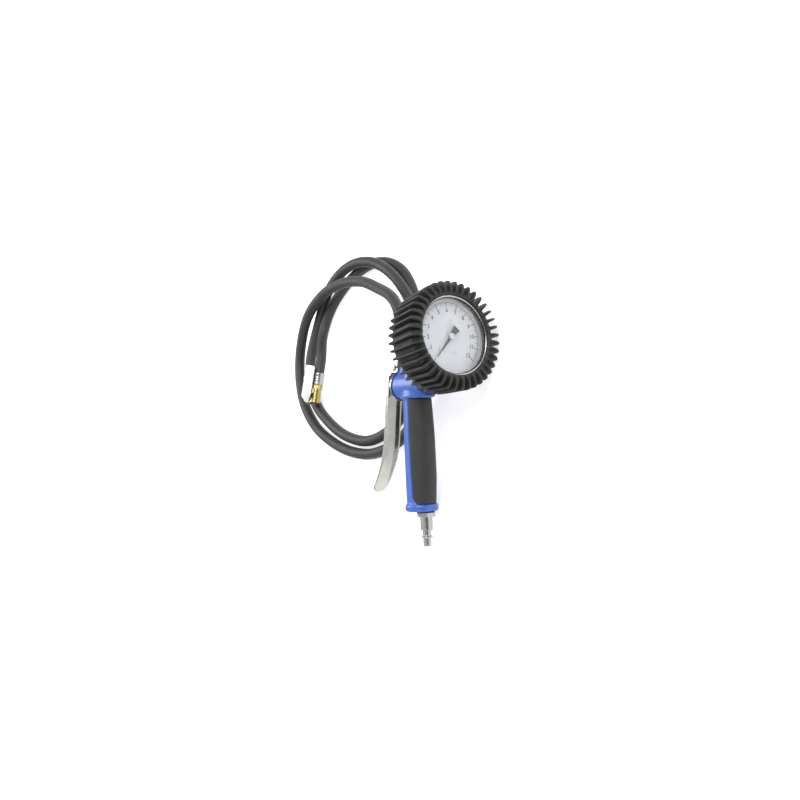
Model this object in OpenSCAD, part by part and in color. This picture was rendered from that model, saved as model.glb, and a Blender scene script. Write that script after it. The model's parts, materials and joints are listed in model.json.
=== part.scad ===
// Hand-held tire inflator: pistol handle with a trigger valve, a booted dial gauge,
// a loosely wound rubber hose and a clip-on tire chuck. All sizes in millimetres.
// Tool frame: the gauge axis crosses the handle axis at the origin, +Z runs up the
// handle, -Y is the dial side, +Y is the trigger side and X runs across.
// The finished tool lies on its right side on a flat surface.

/* [Handle] */
// gauge axis down to the foot of the handle
handle_len = 158; // [140:1:180]
// height of the foot flange
foot_h = 7; // [4:0.5:12]
// radius of the foot flange
foot_r = 16.4; // [16:0.2:20]
// chamfer on the foot flange
foot_chamfer = 1.5; // [0.5:0.25:3]
// half width of the grip across, at its fullest
grip_half_x = 14.5; // [12:0.5:17]
// half depth of the grip, at its fullest
grip_half_y = 17.2; // [14:0.2:20]
// how much slimmer the grip is at its top
grip_taper = 1.6; // [0:0.1:4]
// gauge axis down to the top of the grip pad
pad_top = 47.5; // [44:0.5:60]
// thickness of the soft pad
pad_t = 2.4; // [1:0.1:4]
// how far the pad's edge lies on the palm side of the handle axis
pad_edge = 2; // [0:0.5:6]
// half depth of the lip above the pad
lip_half_y = 21; // [18:0.5:24]
// half width of the lip above the pad
lip_half_x = 15; // [14:0.5:18]

/* [Valve] */
// gauge axis down to the valve axis
valve_drop = 34.5; // [30:0.5:42]
// radius of the valve boss
boss_r = 14; // [12:0.5:17]
// valve boss end on the trigger side
boss_front = 23; // [20:0.5:28]
// valve boss end on the dial side
boss_back = 20; // [16:0.5:22]
// radius of the valve chamber
chamber_r = 8; // [6.5:0.25:9.5]
// depth of the chamber past the handle axis
chamber_deep = 14; // [11:0.5:16]
// radius of the bright valve cap
cap_r = 15; // [13:0.5:17]
// thickness of the valve cap
cap_t = 2.5; // [1.5:0.25:4]
// radius of the valve stem
stem_r = 3; // [2:0.25:4]
// thickness of the valve seal
seal_t = 3.9; // [2:0.1:5]
// wire radius of the valve spring
valve_wire_r = 0.7; // [0.4:0.05:1]
// turns of the valve spring
valve_turns = 5; // [3:1:8]

/* [Trigger] */
// width of the trigger
lever_w = 16.5; // [14:0.5:22]
// sheet thickness of the trigger
lever_sheet = 1.5; // [1:0.1:2.5]
// depth of the trigger's channel
lever_depth = 5; // [3.5:0.25:8]
// trigger pin forward of the handle axis
pin_y = 25.5; // [24:0.5:30]
// trigger pin below the gauge axis
pin_drop = 15.5; // [13:0.5:18]
// radius of the trigger pin
pin_r = 2.5; // [1.5:0.1:3]
// radius of the trigger pin's head
pin_head_r = 3.6; // [3:0.1:5]
// gap from the trigger's ears to the lug between them
ear_gap = 0.3; // [0.1:0.05:0.8]
// thickness of the pin's head and of its clip
clip_t = 1; // [0.6:0.1:2]

/* [Inlet plug] */
// plug axis towards the palm side
plug_y = 6.5; // [0:0.5:7]
// hexagon radius of the plug
plug_hex_r = 10; // [8:0.25:12]
// hexagon height of the plug
plug_hex_h = 4; // [3:0.5:8]
// radius of the plug's body
plug_body_r = 6; // [5:0.25:7]
// length of the plug's body
plug_body_h = 13.5; // [8:0.5:18]
// radius of the plug's neck
plug_neck_r = 4.2; // [3.5:0.1:5]
// radius of the plug's locking ring
plug_ring_r = 5.7; // [5:0.1:6.5]
// radius of the plug's tip
plug_tip_r = 3.95; // [3:0.05:5]
// length of the plug below its hexagon
plug_reach = 29; // [24:0.5:34]
// radius of the plug's air bore
plug_bore_r = 2.6; // [1.5:0.1:3]
// radius of the plug's threaded spigot
spigot_r = 6.5; // [5:0.25:7.5]
// length of the plug's threaded spigot
spigot_h = 7; // [6:0.5:7]
// thickness of the sealing washer
washer_t = 1; // [0.5:0.1:2]

/* [Gauge] */
// backward tilt of the gauge, degrees
gauge_tilt = 8; // [0:1:15]
// radius of the gauge case
case_r = 40; // [38:0.5:42]
// back of the case along the gauge axis
case_back = 30; // [28:0.5:32]
// depth of the case
case_depth = 32; // [30:0.5:36]
// wall of the case
case_wall = 2; // [1.2:0.1:3]
// height of the bezel's skirt
bezel_skirt = 6; // [4:0.5:8]
// wall of the bezel
bezel_wall = 1; // [0.8:0.1:1.5]
// width of the bezel's front lip
bezel_lip = 4; // [3:0.25:6]
// thickness of the window
lens_t = 2; // [1:0.1:3]
// thickness of the window gasket
gasket_t = 1; // [0.5:0.1:2]
// depth of the dial below the case rim
dial_sunk = 4.2; // [3.5:0.1:6]
// thickness of the dial
dial_t = 0.8; // [0.4:0.1:1.5]
// length of the pointer from its axis
pointer_len = 27; // [20:0.5:32]
// length of the pointer's wedge tail
tail_len = 11; // [6:0.5:14]
// half width of the wedge tail's end
tail_half = 4; // [2:0.25:5]
// radius of the pointer's hub disc
hub_r = 3.2; // [2:0.1:5]
// sweep of the pointer, degrees
dial_sweep = 270; // [180:9:270]

/* [Boot] */
// number of ribs round the boot
rib_count = 40; // [24:1:60]
// thickness of one rib
rib_t = 3.2; // [2:0.1:5]
// boot's wall over the case at the back
boot_wall_back = 5; // [4:0.25:8]
// boot's wall over the case at the front
boot_wall_front = 7; // [5:0.25:10]
// height of the ribs over the boot's skin
rib_h = 5; // [2:0.25:7]
// width of the boot's front lip over the case
boot_lip_w = 2; // [0.5:0.25:3.5]
// thickness of the boot's front lip
boot_lip_t = 2.3; // [1.5:0.1:4]
// thickness of the boot's back lip
boot_back_t = 2.5; // [1.5:0.1:4]
// radial gap between boot and case
boot_gap = 0.2; // [0.05:0.05:0.5]

/* [Gauge movement] */
// gauge connection below the gauge axis
socket_drop = 12; // [10:0.5:16]
// reach of the gauge connection behind the case
socket_reach = 19; // [16:0.5:24]
// radius of the connection's collar
socket_r = 8; // [6.5:0.5:9.5]
// gear module
gear_m = 0.4; // [0.3:0.05:0.5]
// teeth of the pinion
pinion_teeth = 10; // [10:1:14]
// teeth of the sector, were it a whole wheel
sector_wheel = 90; // [80:2:110]
// gear pressure angle, degrees
gear_angle = 25; // [20:1:28]
// radius of the two arbors
arbor_r = 0.75; // [0.5:0.05:1]
// play round the arbors
arbor_play = 0.05; // [0.02:0.01:0.1]
// mean radius of the bent tube
tube_r = 30; // [28:0.5:32]
// radial thickness of the bent tube
tube_t = 2.4; // [1.5:0.1:4]
// width of the bent tube along the gauge axis
tube_w = 8; // [5:0.5:10]
// length of the sector's tail
tail_arm = 8; // [6:0.5:10]
// thickness of the movement's plates
plate_t = 1.2; // [0.8:0.1:2]
// thickness of the sector
sector_t = 1.2; // [0.8:0.1:2]

/* [Hose] */
// outer diameter of the hose
hose_d = 12; // [9:0.5:13]
// angle of the hose outlet above the trigger side, degrees
outlet_angle = 60; // [40:5:80]
// radius of both crimp ferrules
ferrule_r = 7; // [6.5:0.1:8]
// length of both crimp ferrules
ferrule_len = 14.5; // [10:0.5:20]
// radial gap between hose and ferrule
ferrule_gap = 0.3; // [0.1:0.05:0.5]

/* [Chuck] */
// turn of the clip about the chuck's axis, degrees from level
clip_turn = 55; // [30:5:90]
// radius of the chuck's body
chuck_r = 5.8; // [5.5:0.1:7]
// length of the chuck's body
chuck_len = 20.5; // [18:0.5:26]
// radius of the bore that takes the tire valve
mouth_r = 4.1; // [3.9:0.05:4.5]
// depth of that bore down to the rubber seal
mouth_deep = 8; // [6:0.5:10]
// radius of the chuck's front rim
rim_r = 6.6; // [6:0.1:7]
// radius of the pin that opens the tire valve
poppet_r = 1.1; // [0.8:0.05:1.5]
// stroke of that pin
poppet_stroke = 1.2; // [0.8:0.1:2]
// inner half width of the clip plate's channel
clip_half = 7.3; // [7.2:0.1:9]
// sheet thickness of the clip plate
clip_sheet = 0.9; // [0.6:0.1:1.5]
// clip plate's back over the chuck's axis
clip_back = 16; // [14:0.5:19]
// radius of the clip plate's pin
clip_pin_r = 1.25; // [0.8:0.05:2]

/* [Hidden] */
$fn = 64;
run_fit = 0.05;
flat_fit = 0.1;

// gauge stack, measured along the gauge axis
rim_s = case_back + case_depth;
lens_s = rim_s + gasket_t;
bezel_s = lens_s + lens_t;
front_s = bezel_s + bezel_wall;
mouth_s = front_s + boot_gap;
boot_front_s = mouth_s + boot_lip_t;
boot_back_s = case_back - boot_gap - boot_back_t;
rib_back_s = boot_back_s + 1;
rib_front_s = boot_front_s - 0.5;
case_in_r = case_r - case_wall;
boot_mouth_r = case_r - boot_lip_w;
rib_back_r = case_r + boot_wall_back + rib_h;
rib_front_r = case_r + boot_wall_front + rib_h;
dial_s = rim_s - dial_sunk - dial_t;

// the tool rests on a front rib and on the foot's flange
rest_s = rib_front_s - 4;
rest_arm = handle_len - foot_chamfer + rest_s * sin(gauge_tilt);
rest_r = norm([rib_front_r, rib_t / 2]);
lie_angle = asin(rest_r / norm([foot_r, rest_arm])) - atan2(foot_r, rest_arm);
rest_h = rest_r - rest_s * sin(gauge_tilt) * sin(lie_angle);

// trigger outline, outer face from the pin down to the tip, as [y, z] from the pin's axis
lever_route = [
    [10.5, 6.5], [13.5, -2.5], [15.5, -13.5], [17, -27.5], [19.5, -43.5], [21.5, -57.5],
    [24.5, -75.5], [29.5, -91.5], [35.5, -103.5], [41.5, -113.5], [47.5, -121.5], [52.5, -126.5]
];
lever_line = spline([for (p = lever_route) p + [pin_y, -pin_drop]], 3);
lever_foot = lever_line[len(lever_line) - 1];

// centre of the tool's footprint
plug_end = handle_len + washer_t + plug_hex_h + plug_reach;
high_x = rib_front_r * norm([sin(lie_angle), cos(gauge_tilt) * cos(lie_angle)])
    + rib_front_s * sin(gauge_tilt) * cos(lie_angle);
low_x = -plug_end * cos(lie_angle) - plug_tip_r * sin(lie_angle);
shift_x = (high_x + low_x) / 2;
shift_y = (lever_foot[0] - boot_front_s * cos(gauge_tilt) - rib_front_r * sin(gauge_tilt)) / 2;

// valve, measured along its axis from the handle axis towards the trigger
seat_v = 4;
sleeve_r = chamber_r - run_fit;
throat_r = sleeve_r - 3;
port_v = 8;
button_gap = 0.7;
function lever_face(z) = lookup(z, [for (p = lever_line) [p[1], p[0]]]) - lever_sheet;
stem_end_v = lever_face(-valve_drop) - button_gap;

// hose outlet
outlet_y = 2;
outlet_z = -10;
outlet_boss = 7;
outlet_hex_h = 5.5;
ferrule_floor = 2.5;
ferrule_start = outlet_boss + outlet_hex_h + flat_fit;
hose_start = ferrule_start + ferrule_floor;
outlet_dir = row_dir([0, cos(outlet_angle), sin(outlet_angle)]);
outlet_root = row([0, outlet_y, outlet_z]);

// hose route on the surface and up to the outlet, chosen by hand
hose_end = [-15, 241, 16];
route = [
    outlet_root + hose_start * outlet_dir,
    outlet_root + (ferrule_start + ferrule_len + 1) * outlet_dir,
    outlet_root + (ferrule_start + ferrule_len + 13) * outlet_dir,
    [44, 35, 53], [62, 60, 48], [77, 98, 42], [91, 142, 36],
    [96, 190, 32], [89, 238, 28], [65, 281, 21], [21, 304, 10], [-26, 291, 6],
    [-61, 253, 6], [-83, 205, 6], [-95, 155, 6], [-95, 108, 6], [-78, 60, 8],
    [-40, 29, 12], [10, 30, 17], [60, 62, 19], [98, 106, 19], [120, 156, 19],
    [121, 207, 18], [100, 250, 14], [60, 276, 7], [12, 283, 6], [-31, 261, 6],
    [-60, 218, 6], [-78, 169, 6], [-81, 120, 6], [-60, 76, 6], [-16, 57, 6],
    [34, 61, 6], [80, 83, 6], [111, 116, 6], [124, 162, 6], [115, 208, 6],
    [86, 247, 6], [51, 259, 8], [14, 241, 16], hose_end
];
lead_spans = 6;
hose_sides = 8;
hose_r = hose_d / 2;

// chuck, measured along its axis from the hose's end
chuck_back = ferrule_floor + flat_fit;
chuck_front = chuck_back + chuck_len;
seal_z = chuck_front - mouth_deep;
chuck_seal_t = 3;
seal_grip = 0.4;
poppet_room = poppet_stroke + 3.8;
clip_pin_x = 8.3;
clip_pin_z = chuck_back + 6.5;
clip_lug_half = 5;

// movement
pinion_r = gear_m * pinion_teeth / 2;
sector_r = gear_m * sector_wheel / 2;
arbor_gap = pinion_r + sector_r;
sector_turn = dial_sweep * pinion_teeth / sector_wheel;
low_plate_s = case_back + 8;
high_plate_s = low_plate_s + 12.5;
sector_s = low_plate_s + 6;
post_x = 3;
post_y = 15;
tail_turn = -90 - sector_turn / 2;
tube_tip = -14;
tube_root = 255;

function unit(v) = v / norm(v);
function row(p) = [
    p[0] * sin(lie_angle) + p[2] * cos(lie_angle),
    p[1],
    p[2] * sin(lie_angle) - p[0] * cos(lie_angle) + rest_h
];
function row_dir(p) = row(p) - row([0, 0, 0]);
function polar(r, a) = [r * cos(a), r * sin(a)];
function blend(a, b, c, d, t) = 0.5 * (2 * b + (c - a) * t
    + (2 * a - 5 * b + 4 * c - d) * t * t + (3 * b - a - 3 * c + d) * t * t * t);
function ghost(p, i) = i < 0 ? 2 * p[0] - p[1]
    : i >= len(p) ? 2 * p[len(p) - 1] - p[len(p) - 2] : p[i];
function spline(p, n) = concat(
    [for (i = [0 : len(p) - 2]) for (k = [0 : n - 1])
        blend(ghost(p, i - 1), p[i], p[i + 1], ghost(p, i + 2), k / n)],
    [p[len(p) - 1]]
);
function tangent(p, i) = unit(p[min(i + 1, len(p) - 1)] - p[max(i - 1, 0)]);
function ring(c, t, r, n) = [for (k = [0 : n - 1])
    c + r * cos(360 * k / n - 90) * unit(cross(t, [0, 0, 1]))
      + r * sin(360 * k / n - 90) * unit(cross(unit(cross(t, [0, 0, 1])), t))];
function side_faces(m, n) = [for (i = [0 : m - 2]) for (k = [0 : n - 1]) each [
    [i * n + k, i * n + (k + 1) % n, (i + 1) * n + k],
    [i * n + (k + 1) % n, (i + 1) * n + (k + 1) % n, (i + 1) * n + k]
]];
function end_fans(m, n) = concat(
    [for (k = [1 : n - 2]) [0, k + 1, k]],
    [for (k = [1 : n - 2]) [(m - 1) * n, (m - 1) * n + k, (m - 1) * n + k + 1]]
);
function shifted(p, d) = [for (i = [0 : len(p) - 1])
    p[i] + d[i] * [tangent(p, i)[1], -tangent(p, i)[0]]];
function reversed(p) = [for (i = [len(p) - 1 : -1 : 0]) p[i]];
function helix(r, rise, turns, n) = [for (i = [0 : turns * n])
    [r * cos(360 * i / n), r * sin(360 * i / n), rise * i / (turns * n)]];

// involute gear teeth
function involute(a) = tan(a) * 180 / PI - a;
function tooth_half(r, m, z, play) = (PI * m / 4 - play) / (m * z / 2) * 180 / PI
    + involute(gear_angle) - involute(acos(min(1, m * z / 2 * cos(gear_angle) / r)));
function tooth(m, z, play, at) =
    let (pitch = m * z / 2, base = pitch * cos(gear_angle), root = pitch - 1.1 * m,
        foot = max(base, root), tip = pitch + 0.8 * m)
    concat(
        [polar(root, at - tooth_half(foot, m, z, play))],
        [for (i = [0 : 3]) let (r = foot + 0.01 + (tip - foot - 0.01) * i / 3)
            polar(r, at - tooth_half(r, m, z, play))],
        [for (i = [3 : -1 : 0]) let (r = foot + 0.01 + (tip - foot - 0.01) * i / 3)
            polar(r, at + tooth_half(r, m, z, play))],
        [polar(root, at + tooth_half(foot, m, z, play))]
    );

// hose centreline, its two stretches, and the least gap between its turns
hose_line = concat([route[0]], spline([for (i = [1 : len(route) - 2]) route[i]], 2), [hose_end]);
split = 1 + 2 * (lead_spans - 1);
fine_line = spline([for (i = [lead_spans : len(route) - 1]) route[i]], 4);
turn_gap = min([for (i = [0 : len(fine_line) - 1]) for (j = [i + 7 : 1 : len(fine_line) - 1])
    norm(fine_line[i] - fine_line[j])]) - hose_d;
hose_length = sum_len(spline(route, 6), 0);
function sum_len(p, i) = i >= len(p) - 1 ? 0 : norm(p[i + 1] - p[i]) + sum_len(p, i + 1);
echo("least gap between turns", turn_gap);
echo("hose centreline length", hose_length);

module placed() {
    translate([-shift_x, -shift_y, rest_h]) rotate([0, 90 - lie_angle, 0]) children();
}
module gauge_frame() {
    placed() rotate([90 - gauge_tilt, 0, 0]) children();
}
module valve_frame() {
    placed() translate([0, 0, -valve_drop]) rotate([-90, 0, 0]) children();
}
module outlet_frame() {
    placed() translate([0, outlet_y, outlet_z]) rotate([outlet_angle - 90, 0, 0]) children();
}
module plug_frame() {
    placed() translate([0, -plug_y, -handle_len]) mirror([0, 0, 1]) children();
}
module chuck_frame() {
    translate([hose_end[0] - shift_x, hose_end[1] - shift_y, hose_end[2]])
        rotate([clip_turn - 90, 0, 0]) rotate([0, -90, 0]) children();
}
// a profile drawn as [y, z] and given a width across
module across(width) {
    translate([-width / 2, 0, 0]) rotate([90, 0, 90]) linear_extrude(width) children();
}
module ellipse_slice(z, half_x, half_y, mid_y) {
    translate([0, mid_y, z]) scale([1, half_y / half_x, 1]) cylinder(r = half_x, h = 0.5, $fn = 32);
}
module swept(line, r, n, first = 0, last = -1) {
    end = last < 0 ? len(line) - 1 : last;
    polyhedron(
        points = [for (i = [first : end]) each ring(line[i], tangent(line, i), r, n)],
        faces = concat(side_faces(end - first + 1, n), end_fans(end - first + 1, n))
    );
}
module tube(r, bore, h) {
    difference() {
        cylinder(r = r, h = h);
        translate([0, 0, -1]) cylinder(r = bore, h = h + 2);
    }
}

// ---- handle ----
module grip_form(inset) {
    hull() {
        ellipse_slice(-handle_len + foot_h / 2, grip_half_x - 0.2 - inset, grip_half_y - 2.2 - inset, 0.3);
        ellipse_slice(-handle_len + 34, grip_half_x - inset, grip_half_y - inset, -1);
        ellipse_slice(-handle_len + 74, grip_half_x - 0.2 - inset, grip_half_y - 0.4 - inset, -1.2);
        ellipse_slice(-pad_top + 4, grip_half_x - grip_taper - inset, grip_half_y - grip_taper - inset, -0.4);
    }
}
// region taken by the pad, as [y, z]
module pad_outline(gap) {
    polygon([
        [-30, -pad_top + gap], [-pad_edge + gap, -pad_top + gap],
        [-pad_edge - 2.5 + gap, -handle_len + foot_h + 7],
        [-pad_edge - 4 + gap, -handle_len + foot_h + 3], [-pad_edge - 8, -handle_len + foot_h + 0.3 - gap],
        [-30, -handle_len + foot_h + 0.3 - gap]
    ]);
}
module foot_form() {
    translate([0, 0, -handle_len]) {
        cylinder(r1 = foot_r - foot_chamfer, r2 = foot_r, h = foot_chamfer);
        translate([0, 0, foot_chamfer]) cylinder(r = foot_r, h = foot_h - foot_chamfer - 0.8);
        translate([0, 0, foot_h - 0.8]) cylinder(r1 = foot_r, r2 = foot_r - 0.8, h = 0.8);
    }
}
module head_form() {
    hull() {
        ellipse_slice(-pad_top + 0.2, lip_half_x - 0.6, lip_half_y - 0.8, 0);
        ellipse_slice(-pad_top + 1.8, lip_half_x, lip_half_y, 0);
        ellipse_slice(-valve_drop - 3, 12.5, 16, 0);
    }
    hull() {
        ellipse_slice(-valve_drop - 3, 12.5, 16, 0);
        ellipse_slice(-17, 10.8, 13.5, 0);
        ellipse_slice(-8, 8.5, 9.5, 0);
    }
}
module handle_body() {
    color("RoyalBlue") placed() difference() {
        union() {
            grip_form(0);
            foot_form();
            head_form();
            translate([0, 0, -valve_drop]) rotate([-90, 0, 0])
                translate([0, 0, -boss_back]) cylinder(r = boss_r, h = boss_back + boss_front);
            // trigger lug
            translate([0, pin_y, -pin_drop]) rotate([0, 90, 0])
                cylinder(r = 6.2, h = lever_w - 2 * (lever_sheet + ear_gap), center = true);
            translate([-(lever_w / 2 - lever_sheet - ear_gap), 0, -pin_drop - 6.2])
                cube([lever_w - 2 * (lever_sheet + ear_gap), pin_y, 12.4]);
            // seat of the gauge connection
            rotate([90 - gauge_tilt, 0, 0]) translate([0, -socket_drop, -4])
                cylinder(r = socket_r + 1.5, h = case_back - 11 - flat_fit + 4);
            // hose outlet boss
            translate([0, outlet_y, outlet_z]) rotate([outlet_angle - 90, 0, 0])
                translate([0, 0, -6]) cylinder(r = 9, h = 6 + outlet_boss);
        }
        // recess of the soft pad
        difference() {
            across(80) pad_outline(flat_fit);
            grip_form(pad_t + flat_fit);
        }
        // air way from the foot to the valve
        translate([0, -plug_y, -handle_len - 1]) cylinder(r = spigot_r + flat_fit, h = spigot_h + 1.3);
        translate([0, -plug_y, -handle_len]) cylinder(r = 4, h = handle_len - valve_drop);
        // valve chamber
        translate([0, 0, -valve_drop]) rotate([-90, 0, 0])
            translate([0, 0, -chamber_deep]) cylinder(r = chamber_r, h = chamber_deep + boss_front + 1);
        // air way from the valve to outlet and gauge
        translate([0, port_v, -valve_drop])
            rotate([-atan2(outlet_y - port_v, valve_drop + outlet_z), 0, 0])
            cylinder(r = 2.5, h = norm([outlet_y - port_v, valve_drop + outlet_z]));
        translate([0, outlet_y, outlet_z]) rotate([outlet_angle - 90, 0, 0])
            translate([0, 0, -2]) cylinder(r = 4.9 + flat_fit, h = 20);
        rotate([90 - gauge_tilt, 0, 0]) translate([0, -socket_drop, -2]) cylinder(r = 2.2, h = 30);
        rotate([90 - gauge_tilt, 0, 0]) translate([0, -socket_drop, case_back - socket_reach - 1])
            cylinder(r = socket_r - 3 + flat_fit, h = socket_reach + 1);
        // room for the valve cap under the lug
        translate([0, boss_front, -valve_drop]) rotate([-90, 0, 0]) cylinder(r = cap_r + 0.3, h = 20);
        // trigger pin bore
        translate([0, pin_y, -pin_drop]) rotate([0, 90, 0]) cylinder(r = pin_r + run_fit, h = 60, center = true);
    }
}
module grip_pad() {
    color("DimGray") placed() difference() {
        intersection() {
            grip_form(0);
            across(80) pad_outline(0);
        }
        grip_form(pad_t);
    }
}

// ---- inlet ----
module inlet_plug() {
    body_z = washer_t + plug_hex_h;
    neck_z = body_z + plug_body_h;
    ring_z = body_z + plug_reach - 9.7;
    color("Silver") plug_frame() difference() {
        union() {
            translate([0, 0, -spigot_h]) cylinder(r = spigot_r, h = spigot_h + washer_t + 0.5);
            translate([0, 0, washer_t]) cylinder(r = plug_hex_r, h = plug_hex_h, $fn = 6);
            translate([0, 0, body_z]) cylinder(r = plug_body_r, h = plug_body_h - 1);
            translate([0, 0, neck_z - 1]) cylinder(r1 = plug_body_r, r2 = plug_body_r - 1, h = 1);
            translate([0, 0, neck_z]) cylinder(r = plug_neck_r, h = ring_z - neck_z);
            translate([0, 0, ring_z - 1.3]) cylinder(r1 = plug_neck_r, r2 = plug_ring_r, h = 1.3);
            translate([0, 0, ring_z]) cylinder(r = plug_ring_r, h = 0.6);
            translate([0, 0, ring_z + 0.6]) cylinder(r1 = plug_ring_r, r2 = plug_tip_r, h = 1.4);
            translate([0, 0, ring_z + 1.2]) cylinder(r = plug_tip_r, h = 7.5);
            translate([0, 0, body_z + plug_reach - 1]) cylinder(r1 = plug_tip_r, r2 = plug_tip_r - 0.6, h = 1);
        }
        translate([0, 0, -spigot_h - 1]) cylinder(r = plug_bore_r, h = spigot_h + body_z + plug_reach + 2);
    }
}
module plug_washer() {
    color("Black") plug_frame() tube(8.6, spigot_r + run_fit, washer_t);
}

// ---- valve ----
module valve_cap() {
    color("Gainsboro") valve_frame() difference() {
        union() {
            translate([0, 0, boss_front]) cylinder(r = cap_r, h = cap_t - 0.8);
            translate([0, 0, boss_front + cap_t - 0.8]) cylinder(r1 = cap_r, r2 = cap_r - 0.8, h = 0.8);
            translate([0, 0, seat_v]) cylinder(r = sleeve_r, h = boss_front - seat_v);
        }
        translate([0, 0, seat_v - 1]) cylinder(r = stem_r + run_fit, h = boss_front + cap_t - seat_v + 2);
        translate([0, 0, seat_v - 1]) cylinder(r = throat_r, h = 11);
        // annular port and its cross holes
        translate([0, 0, port_v - 2]) difference() {
            cylinder(r = sleeve_r + 1, h = 4);
            cylinder(r = sleeve_r - 1.5, h = 4);
        }
        translate([0, 0, port_v]) rotate([90, 0, 0]) cylinder(r = 1.5, h = 2 * sleeve_r + 2, center = true);
    }
}
module valve_stem() {
    color("Silver") valve_frame() {
        translate([0, 0, -2]) cylinder(r = stem_r + 1, h = 2);
        translate([0, 0, -0.5]) cylinder(r = stem_r, h = stem_end_v - 2.5);
        translate([0, 0, stem_end_v - 3.4]) cylinder(r = stem_r + 0.8, h = 2.4);
        translate([0, 0, stem_end_v - 1]) cylinder(r1 = stem_r + 0.8, r2 = stem_r - 1.2, h = 1);
    }
}
module valve_seal() {
    color("Black") valve_frame() tube(throat_r + 1.6, stem_r + run_fit, seal_t);
}
module valve_spring() {
    span = chamber_deep - 2 * valve_wire_r - 0.2;
    color("Gray") valve_frame() translate([0, 0, valve_wire_r + 0.1 - chamber_deep])
        swept(helix(stem_r + 2.3, span, valve_turns, 12), valve_wire_r, 6);
}

// ---- trigger ----
function lever_reach(z) = z > -107 ? lever_depth
    : max(lever_sheet, lever_depth - (lever_depth - lever_sheet) * (-107 - z) / 28);
module lever_web() {
    polygon(concat(lever_line, reversed(shifted(lever_line, [for (p = lever_line) lever_sheet]))));
}
module lever_cheek() {
    polygon(concat(lever_line, reversed(shifted(lever_line, [for (p = lever_line) lever_reach(p[1])]))));
    // ear round the pin
    polygon([
        [pin_y - 6, -pin_drop + 4.5], [pin_y - 4.5, -pin_drop + 6], [pin_y + 9.8, -pin_drop + 6],
        [pin_y + 11, -pin_drop + 4], [pin_y + 14, -pin_drop - 8], [pin_y + 8, -pin_drop - 8],
        [pin_y + 5, -pin_drop - 5], [pin_y - 4.5, -pin_drop - 5], [pin_y - 6, -pin_drop - 3.5]
    ]);
}
module lever() {
    color("Gainsboro") placed() difference() {
        intersection() {
            union() {
                across(lever_w) lever_web();
                for (side = [-1, 1]) translate([side * (lever_w - lever_sheet) / 2, 0, 0])
                    across(lever_sheet) lever_cheek();
            }
            // rounded tip
            rotate([90, 0, 0]) translate([0, 0, -100]) linear_extrude(120) union() {
                translate([-lever_w / 2, lever_foot[1] + lever_w / 2])
                    square([lever_w, -lever_foot[1] - lever_w / 2]);
                translate([0, lever_foot[1] + lever_w / 2]) circle(r = lever_w / 2);
            }
        }
        translate([0, pin_y, -pin_drop]) rotate([0, 90, 0])
            cylinder(r = pin_r + run_fit, h = lever_w + 2, center = true);
    }
}
module lever_pin() {
    color("Silver") placed() translate([0, pin_y, -pin_drop]) rotate([0, 90, 0]) {
        cylinder(r = pin_r, h = lever_w + 2 * clip_t + 1.2, center = true);
        translate([0, 0, -lever_w / 2 - flat_fit - clip_t]) cylinder(r1 = pin_head_r - 0.5, r2 = pin_head_r, h = clip_t);
    }
}
module lever_pin_clip() {
    color("DarkGray") placed() translate([0, pin_y, -pin_drop]) rotate([0, 90, 0])
        translate([0, 0, lever_w / 2 + flat_fit]) difference() {
            tube(pin_head_r + 0.6, pin_r + run_fit, clip_t * 0.8);
            translate([pin_r - 0.4, -1, -1]) cube([10, 2, 4]);
        }
}

// ---- hose and its ends ----
module ferrule() {
    difference() {
        union() {
            cylinder(r = ferrule_r, h = 3.5);
            translate([0, 0, 3.5]) cylinder(r = ferrule_r, h = ferrule_len - 5.5, $fn = 8);
            translate([0, 0, ferrule_len - 2]) cylinder(r = ferrule_r, h = 2);
        }
        translate([0, 0, ferrule_floor]) cylinder(r = hose_r + ferrule_gap, h = ferrule_len);
        translate([0, 0, -1]) cylinder(r = 3.2, h = ferrule_floor + 2);
    }
}
module outlet_fitting() {
    color("Goldenrod") outlet_frame() difference() {
        union() {
            cylinder(r = 4.9, h = outlet_boss + 1);
            translate([0, 0, outlet_boss]) cylinder(r = 8.1, h = outlet_hex_h, $fn = 6);
            translate([0, 0, outlet_boss + 1]) cylinder(r = 3.1, h = hose_start - outlet_boss - 1);
        }
        translate([0, 0, -1]) cylinder(r = 2, h = hose_start + 2);
    }
}
module outlet_ferrule() {
    color("Silver") outlet_frame() translate([0, 0, ferrule_start]) ferrule();
}
module hose_lead() {
    color("DimGray") translate([-shift_x, -shift_y, 0]) swept(hose_line, hose_r, hose_sides, 0, split);
}
module hose_coil() {
    color("DimGray") translate([-shift_x, -shift_y, 0]) swept(hose_line, hose_r, hose_sides, split);
}
module hose_end_ferrule() {
    color("Silver") chuck_frame() translate([0, 0, ferrule_floor]) mirror([0, 0, 1]) ferrule();
}

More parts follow.
